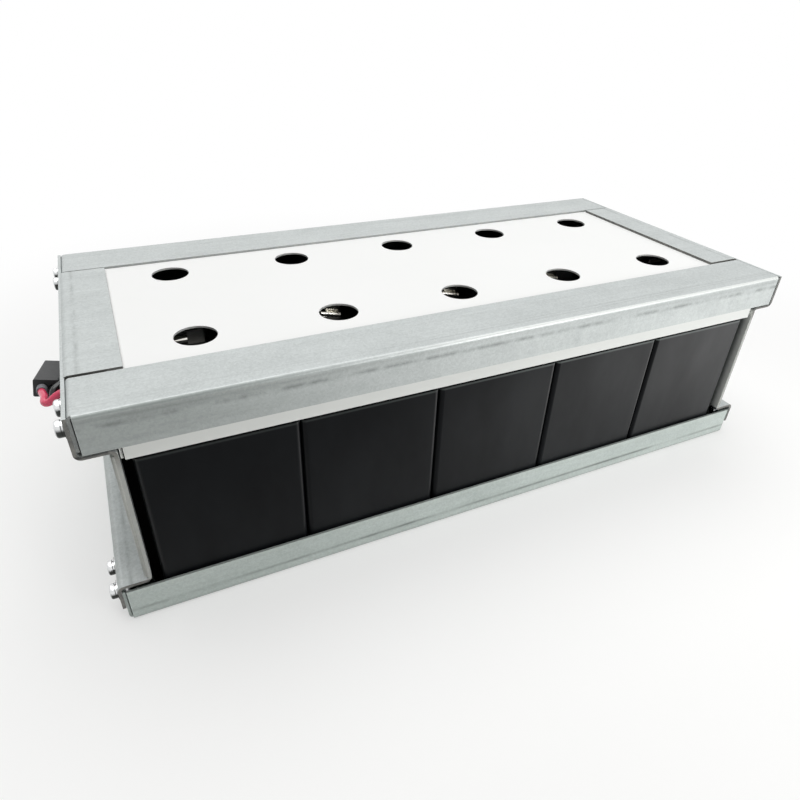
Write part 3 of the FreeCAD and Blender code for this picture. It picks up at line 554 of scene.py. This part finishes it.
def battery_plastic():
    """Near-black moulded plastic with a fine grain, glossier where it is seen aslant.

    The seam under the lid is dull and darkened with painted shade, and the rim of the case below it
    has a painted highlight.
    """
    surface = Surface("battery_plastic")
    surface.feed("Specular IOR Level", 0.06)
    surface.feed("Coat Roughness", 0.3)
    surface.feed("Coat IOR", 1.58)
    surface.bump(surface.patches(scale=1400.0, contrast=1.4), FINE_GRAIN, strength=0.3)
    across, _, height = surface.split(surface.place)
    rubs = surface.patches(scale=30.0, contrast=2.4, stretch=(1, 1, 0.4))
    # The lid seam, darkened as painted shade
    seam_shade = surface.line(height, *LID_SEAM_SHADE)
    # Painted highlight along the case rim, stronger towards the right
    rim_light_share = surface.spread(surface.ramp(across, *RIM_HIGHLIGHT_ALONG), *RIM_HIGHLIGHT_LEVELS)
    rim = surface.line(height, *CASE_RIM_HIGHLIGHT, broken=rim_light_share)
    aslant = surface.ramp(surface.node("ShaderNodeLayerWeight").outputs["Facing"], *GLOSS_ASLANT)
    sides = surface.size(surface.facing("True Normal")["X"])
    gloss = surface.both(
        aslant,
        surface.spread(rubs, *GLOSS_RUBBED),
        surface.ramp(sides, *GLOSS_OFF_SIDES),
        surface.spread(seam_shade, low=1.0, high=0.0),
        surface.spread(surface.ramp(height, *GLOSS_UP), *GLOSS_LEVELS))
    surface.feed("Coat Weight", gloss)
    colour = surface.mix(rubs, *BATTERY_TONES)
    colour = surface.mix(rim, colour, RIM_HIGHLIGHT_COLOUR)
    colour = surface.mix(seam_shade, colour, SEAM_SHADE_COLOUR)
    return surface.finish(colour, surface.spread(rubs, low=0.3, high=0.42))


def bright_zinc():
    """Plated screws and washers: bright, with painted shade on the undersides and between the washers.
    """
    surface = Surface("bright_zinc", metallic=1.0)
    facing = surface.facing()
    out = surface.size(surface.split(surface.place)["X"])
    rim = surface.ramp(surface.size(facing["X"]), *SCREW_RIM)
    # Painted shade on the undersides of heads and washers
    shaded_underside = surface.both(surface.ramp(facing["Z"], *SCREW_UNDERSIDE), rim)
    patches = surface.patches(scale=420.0, contrast=1.5)
    colour = surface.mix(shaded_underside, surface.mix(patches, *PLATED_TONES), UNDERSIDE_SHADE)
    # Painted shade lines where the washers meet
    for seam in WASHER_SEAMS:
        colour = surface.mix(surface.line(out, seam, SEAM_REACH, rim), colour, WASHER_SEAM_SHADE)
    return surface.finish(colour, surface.spread(patches, low=0.18, high=0.3))


def plain_finish(name, dark, light, roughness, metallic=0.0, shine=0.5):
    """A one-colour finish with a little unevenness in tone and gloss."""
    surface = Surface(name, metallic=metallic)
    surface.feed("Specular IOR Level", shine)
    patches = surface.patches(scale=300.0, contrast=1.5)
    surface.bump(surface.patches(scale=1800.0, contrast=1.0), FINE_GRAIN, strength=0.3)
    colour = surface.mix(patches, linear(*dark), linear(*light))
    return surface.finish(colour, surface.spread(patches, *roughness))


PLAIN_LOOKS = {
    "tinned_brass": {
        "dark": (214, 211, 202), "light": (236, 234, 228), "roughness": (0.14, 0.22), "metallic": 1.0},
    "black_insulation": {"dark": (22, 22, 23), "light": (36, 36, 37), "roughness": (0.13, 0.2)},
    "red_insulation": {"dark": (216, 48, 88), "light": (238, 78, 114), "roughness": (0.12, 0.2)},
    "rubber": {"dark": (26, 26, 26), "light": (38, 38, 38), "roughness": (0.6, 0.75)},
    "sleeve_rubber": {"dark": (104, 103, 108), "light": (128, 127, 132), "roughness": (0.5, 0.62)},
    "connector_plastic": {
        "dark": (30, 31, 32), "light": (44, 45, 46), "roughness": (0.42, 0.52), "shine": 0.35},
    "foam": {"dark": (7, 7, 7), "light": (12, 12, 12), "roughness": (0.9, 0.97), "shine": 0.03},
    "insulating_film": {"dark": (70, 70, 72), "light": (88, 88, 90), "roughness": (0.4, 0.5)},
}
FINISHES = {name: plain_finish(name, **look) for name, look in PLAIN_LOOKS.items()}
FINISHES["galvanised_steel"] = rail_steel()
FINISHES["white_plastic"] = white_plastic()
FINISHES["battery_plastic"] = battery_plastic()
FINISHES["bright_zinc"] = bright_zinc()
HEM_FINISH = ZincSheet("hem_steel", HEM_TONES).done()
SHEET_FINISHES = {"bottom_tray": tray_steel(), "left_end_plate": plate_steel()}
SHEET_FINISHES["right_end_plate"] = SHEET_FINISHES["left_end_plate"]


def dress_nodes():
    """Give each solid of the frame its finish."""
    slots = {entry["node"]: entry["material_slot"] for entry in frame["record"]["subparts"]}
    for name, node in nodes.items():
        node.data.materials.clear()
        node.data.materials.append(SHEET_FINISHES.get(name, FINISHES[slots[name]]))


def lead_curve(name, route):
    """A round lead along a smooth line that has the route's points as its control points."""
    curve = bpy.data.curves.new(name, "CURVE")
    curve.dimensions = "3D"
    curve.bevel_depth = LEAD_DIAMETER_MM / 2 * MM
    curve.bevel_resolution = LEAD_ROUNDNESS
    curve.use_fill_caps = True
    spline = curve.splines.new("NURBS")
    spline.points.add(len(route) - 1)
    for knot, place in zip(spline.points, route):
        knot.co = (*metres(place), 1.0)
    spline.order_u = LEAD_ORDER
    spline.use_endpoint_u = True
    spline.resolution_u = LEAD_STEPS
    return link_object(name, curve)


def hang_leads():
    """The two free leads, which both end in the connector."""
    leads = {}
    for name, route, slot in (("red_lead", RED_ROUTE_MM, "red_insulation"),
                              ("black_lead", BLACK_ROUTE_MM, "black_insulation")):
        lead = lead_curve(f"{name}_smooth", route)
        lead.data.materials.append(FINISHES[slot])
        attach(lead, "root")
        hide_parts(name)
        leads[name] = lead
    return leads


def drawn_mesh(piece):
    """A plain mesh of an object as its curve or modifiers draw it."""
    return bpy.data.meshes.new_from_object(
        piece.evaluated_get(bpy.context.evaluated_depsgraph_get()))


def lead_line(route):
    """Points along a lead's own smooth line, from the plate to the connector."""
    guide = lead_curve("lead_guide", route)
    curve = guide.data
    curve.bevel_depth = 0.0
    drawn = drawn_mesh(guide)
    points = [vertex.co.copy() for vertex in drawn.vertices]
    bpy.data.meshes.remove(drawn)
    bpy.data.objects.remove(guide)
    bpy.data.curves.remove(curve)
    return points


def points_between(line, near, far):
    """The part of a line that lies between two distances from its end, from the end back."""
    kept, gone = [], 0.0
    for this, before in zip(line[::-1], line[-2::-1]):
        if near <= gone <= far:
            kept.append(this)
        gone += (this - before).length
    return kept


def skin_rings(edit, rings):
    """Close a row of equal rings into one solid skin."""
    count = len(rings[0])
    for first, second in zip(rings, rings[1:]):
        for step in range(count):
            after = (step + 1) % count
            edit.faces.new((first[step], first[after], second[after], second[step]))
    edit.faces.new(rings[0][::-1])
    edit.faces.new(rings[-1])


def solid_mesh(name, edit, finish):
    bmesh.ops.recalc_face_normals(edit, faces=edit.faces)
    mesh = bpy.data.meshes.new(name)
    edit.to_mesh(mesh)
    edit.free()
    mesh.materials.append(finish)
    return mesh


def sleeve_on_lead(route):
    """The grey sleeve that the red lead wears where it enters the connector."""
    line = points_between(lead_line(route), SLEEVE_START_MM * MM, SLEEVE_END_MM * MM)
    last = len(line) - 1
    profile = [(0, share) for share in SLEEVE_FIRST_END]
    profile += [(index, 1.0) for index in range(1, last)]
    profile += [(last, share) for share in SLEEVE_LAST_END]
    edit = bmesh.new()
    rings = []
    for index, share in profile:
        ahead = (line[min(index + 1, last)] - line[max(index - 1, 0)]).normalized()
        side = ahead.cross(UP).normalized()
        up = side.cross(ahead)
        reach = SLEEVE_DIAMETER_MM / 2 * MM * share
        ring = []
        for step in range(SLEEVE_SIDES):
            turn = 2 * math.pi * step / SLEEVE_SIDES
            spoke = side * math.cos(turn) + up * math.sin(turn)
            ring.append(edit.verts.new(line[index] + spoke * reach))
        rings.append(ring)
    skin_rings(edit, rings)
    mesh = solid_mesh("lead_sleeve", edit, FINISHES["sleeve_rubber"])
    for face in mesh.polygons:
        face.use_smooth = len(face.vertices) == 4
    sleeve = link_object("lead_sleeve", mesh)
    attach(sleeve, "root")
    return sleeve


def barrel_tree():
    """Geometry that lays a ribbed barrel along X from each point of a mesh, tilted about Y."""
    tree = bpy.data.node_groups.new("ribbed_barrels", "GeometryNodeTree")
    for label, kind in (("Starts", "Geometry"), ("Length", "Float"), ("Radius", "Float"),
                        ("Rib Width", "Float"), ("Rib Count", "Int"), ("Tilt", "Float"),
                        ("Finish", "Material")):
        tree.interface.new_socket(name=label, in_out="INPUT", socket_type=f"NodeSocket{kind}")
    tree.interface.new_socket(name="Barrels", in_out="OUTPUT", socket_type="NodeSocketGeometry")
    start = tree.nodes.new("NodeGroupInput").outputs
    end = tree.nodes.new("NodeGroupOutput").inputs

    def add(kind, inputs, **settings):
        return add_node(tree, kind, inputs, **settings).outputs[0]

    reach = add("ShaderNodeCombineXYZ", {"X": start["Length"]})
    tilt = add("ShaderNodeCombineXYZ", {"Y": start["Tilt"]})
    spine = add("GeometryNodeCurvePrimitiveLine", {"End": reach})
    ring = add("GeometryNodeCurvePrimitiveCircle", {"Radius": start["Radius"]})
    tube = add("GeometryNodeCurveToMesh", {"Curve": spine, "Profile Curve": ring, "Fill Caps": True})
    wider = add("ShaderNodeMath", {0: start["Radius"], 1: RIB_SWELL}, operation="MULTIPLY")
    rib = add("GeometryNodeMeshCylinder", {"Radius": wider, "Depth": start["Rib Width"]})
    places = add("GeometryNodeResampleCurve", {"Curve": spine, "Count": start["Rib Count"]})
    ribs = add("GeometryNodeInstanceOnPoints", {
        "Points": places, "Instance": rib, "Rotation": (0, math.pi / 2, 0)})
    barrel = tree.nodes.new("GeometryNodeJoinGeometry")
    for part in (tube, ribs):
        tree.links.new(part, barrel.inputs[0])
    row = add("GeometryNodeInstanceOnPoints", {
        "Points": start["Starts"], "Instance": barrel.outputs[0], "Rotation": tilt})
    real = add("GeometryNodeRealizeInstances", {"Geometry": row})
    done = add("GeometryNodeSetMaterial", {"Geometry": real, "Material": start["Finish"]})
    tree.links.new(done, end["Barrels"])
    return tree


def crimp_barrels():
    """The silver barrels that show through the front holes."""
    starts = bpy.data.meshes.new("barrel_starts")
    starts.from_pydata([metres(place) for place in BARREL_STARTS_MM], [], [])
    barrels = link_object("crimp_barrels", starts)
    tree = barrel_tree()
    values = {name: size * MM for name, size in BARREL_SIZES_MM.items()}
    values.update({"Rib Count": BARREL_RIBS, "Tilt": BARREL_TILT, "Finish": FINISHES["tinned_brass"]})
    modifier = barrels.modifiers.new("ribbed_barrels", "NODES")
    modifier.node_group = tree
    for item in tree.interface.items_tree:
        if item.name in values:
            modifier[item.identifier] = values[item.name]
    drawn = drawn_mesh(barrels)
    barrels.modifiers.remove(modifier)
    barrels.data = drawn
    bpy.data.meshes.remove(starts)
    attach(barrels, "root")


def hem_outline():
    """Section of a hem, out from the wall and back from its front, in millimetres."""
    points = [(0.0, HEM_LENGTH_MM)]
    for step in range(HEM_STEPS + 1):
        turn = math.pi / 2 * step / HEM_STEPS
        points.append((HEM_THICKNESS_MM * math.sin(turn), HEM_THICKNESS_MM * (1 - math.cos(turn))))
    points.append((HEM_THICKNESS_MM, HEM_LENGTH_MM))
    return points


def wall_hems():
    """The folded front and back edges of both recess walls."""
    edit = bmesh.new()
    for end in (-1, 1):
        for side in (-1, 1):
            rings = []
            for height in HEM_HEIGHTS_MM:
                places = [((HEM_WALL_X_MM + out) * end, (HEM_FRONT_Y_MM - back) * side, height)
                          for out, back in hem_outline()]
                rings.append([edit.verts.new(metres(place)) for place in places])
            skin_rings(edit, rings)
    mesh = solid_mesh("wall_hems", edit, HEM_FINISH)
    for face in mesh.polygons:
        face.use_smooth = max(abs(share) for share in face.normal) < FLAT_FACE
    hems = link_object("wall_hems", mesh)
    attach(hems, "root")


def white_where_seen(tree, low):
    """1 for rays that come from the eye, a polished surface or glass, and low for the rest."""
    rays = add_node(tree, "ShaderNodeLightPath").outputs
    seen = rays["Is Camera Ray"]
    for kind in ("Is Glossy Ray", "Is Transmission Ray"):
        inputs = {0: seen, 1: rays[kind]}
        seen = add_node(tree, "ShaderNodeMath", inputs, operation="MAXIMUM").outputs[0]
    return add_node(tree, "ShaderNodeMapRange", {"Value": seen, "To Min": low}).outputs["Result"]


def light_surroundings():
    """White to look at, and a faint fill for everything else."""
    world = bpy.data.worlds.new("white_room")
    world.use_nodes = True
    tree = world.node_tree
    background = tree.nodes["Background"]
    feed(tree, background.inputs["Color"], WHITE)
    feed(tree, background.inputs["Strength"], white_where_seen(tree, FILL_LIGHT))
    bpy.context.scene.world = world


def hang_lamps():
    """A broad soft light overhead, a little from behind, and a softer one low on the right."""
    sun = bpy.data.lights.new("overhead_softbox", "SUN")
    sun.energy = SUN_STRENGTH
    sun.angle = SUN_WIDTH
    overhead = link_object("overhead_softbox", sun)
    overhead.rotation_euler = (SUN_LEAN, 0, 0)
    panel = bpy.data.lights.new("right_panel", "AREA")
    panel.size = PANEL_SIZE
    panel.energy = PANEL_WATTS
    panel.spread = PANEL_SPREAD
    side = link_object("right_panel", panel)
    side.location = PANEL_PLACE
    aim = Vector(PANEL_AIM) - side.location
    side.rotation_euler = aim.to_track_quat("-Z", "Y").to_euler()
    side.visible_camera = False


def floor_paper():
    """White paper that fades into the white room away from the object."""
    surface = Surface("floor_paper")
    surface.feed("Specular IOR Level", 0.1)
    patches = surface.patches(scale=3.0, contrast=1.0)
    surface.finish(surface.mix(patches, *PAPER_TONES), roughness=0.9)
    distance = surface.node("ShaderNodeVectorMath", {0: surface.place}, operation="LENGTH")
    fade = surface.spread(surface.ramp(distance.outputs["Value"], *FLOOR_FADE), *FLOOR_GLOW)
    share = surface.both(fade, white_where_seen(surface.tree, 0.0))
    glow = surface.node("ShaderNodeEmission")
    blend = surface.node("ShaderNodeMixShader", {
        0: share, 1: surface.shader.outputs[0], 2: glow.outputs[0]})
    shown = surface.tree.nodes["Material Output"].inputs["Surface"]
    feed(surface.tree, shown, blend.outputs[0])
    return surface.material


def lay_floor():
    """A large sheet of the paper just under the object."""
    mesh = bpy.data.meshes.new("floor")
    edit = bmesh.new()
    bmesh.ops.create_grid(edit, x_segments=1, y_segments=1, size=FLOOR_REACH)
    edit.to_mesh(mesh)
    edit.free()
    mesh.materials.append(floor_paper())
    floor = link_object("floor", mesh)
    floor.location.z = -FLOOR_DROP


place_camera()
leads = hang_leads()
dress_nodes()
sleeve_on_lead(RED_ROUTE_MM)
crimp_barrels()
wall_hems()
light_surroundings()
hang_lamps()
lay_floor()

bpy.context.scene.view_settings.view_transform = "Standard"
